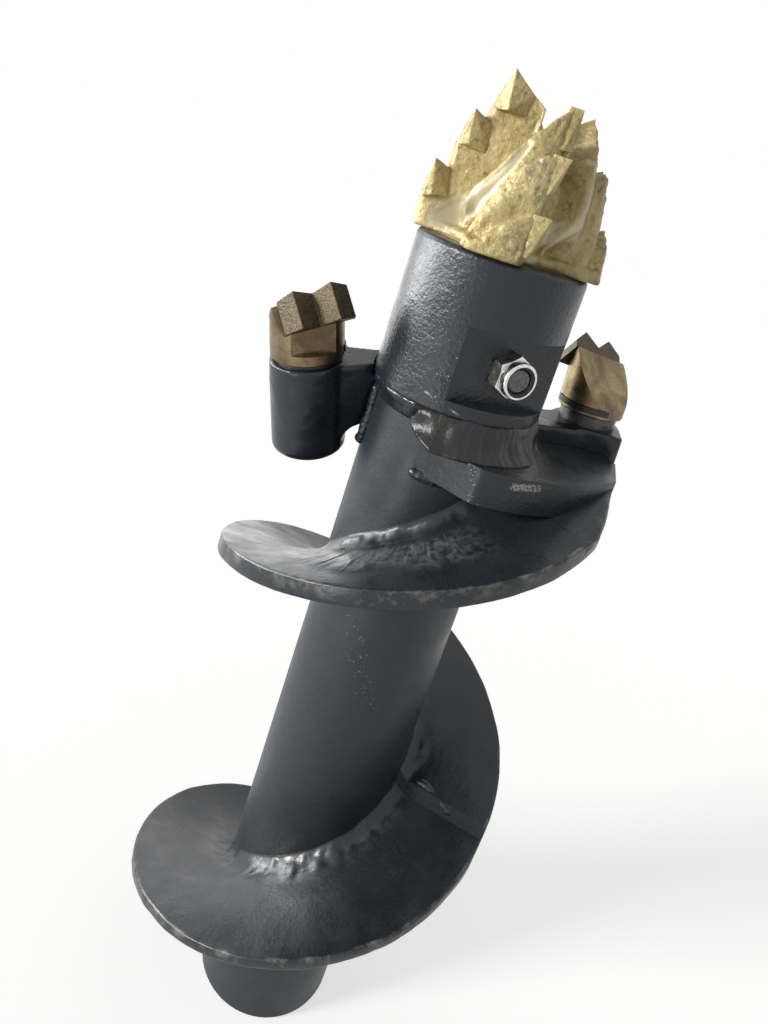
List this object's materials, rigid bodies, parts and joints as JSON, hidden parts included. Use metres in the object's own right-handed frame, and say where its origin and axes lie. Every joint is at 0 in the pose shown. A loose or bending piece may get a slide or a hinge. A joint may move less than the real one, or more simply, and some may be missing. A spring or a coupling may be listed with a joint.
{
  "type": "rock auger bit",
  "caption": "Short rock auger bit: tube stem with helical flights, stepped pilot bit in a bolted collar, toothed holders at the leading edge and a round drive socket.",
  "frame": {"origin": "centre of the drive socket's mouth, on the flat lower end of the stem", "axes": "+Z along the stem to the point of the pilot bit; -Y towards the nut side seen in the picture"},
  "size_m": [0.1891, 0.1846, 0.524],
  "materials": {
    "black_paint": "gloss blue-black paint with orange peel over welded steel",
    "turned_steel": "turned steel, lightly oiled",
    "zinc_plate": "bright zinc plating",
    "lock_ring": "dull moulded nylon",
    "gold_casting": "gold paint on a rough sand casting",
    "tooth_plating": "yellow passivated zinc plating",
    "tooth_insert": "grainy yellow-grey hard metal",
    "dark_band": "dark satin",
    "retaining_ring": "dull spring steel"
  },
  "bodies": {
    "root": {"stem_tube": "black_paint", "pilot_holder": "black_paint", "lead_flight": "black_paint", "main_flight": "black_paint", "carrier_plate": "black_paint", "inner_tooth_holder": "black_paint", "outer_tooth_holder": "black_paint", "drive_sleeve": "turned_steel", "pilot_bolt": "zinc_plate", "pilot_nut": "zinc_plate", "nut_lock_ring": "lock_ring", "pilot_bit": "gold_casting", "pilot_tip_top_1": "gold_casting", "pilot_tip_middle_1": "gold_casting", "pilot_tip_low_1": "gold_casting", "pilot_tip_top_2": "gold_casting", "pilot_tip_middle_2": "gold_casting", "pilot_tip_low_2": "gold_casting", "pilot_tip_top_3": "gold_casting", "pilot_tip_middle_3": "gold_casting", "pilot_tip_low_3": "gold_casting", "pilot_tip_top_4": "gold_casting", "pilot_tip_middle_4": "gold_casting", "pilot_tip_low_4": "gold_casting", "inner_tooth": "tooth_plating", "inner_tooth_insert": "tooth_insert", "inner_tooth_band": "dark_band", "inner_tooth_ring": "retaining_ring", "outer_tooth": "tooth_plating", "outer_tooth_insert": "tooth_insert", "outer_tooth_band": "dark_band", "outer_tooth_ring": "retaining_ring"}
  },
  "joints": []
}
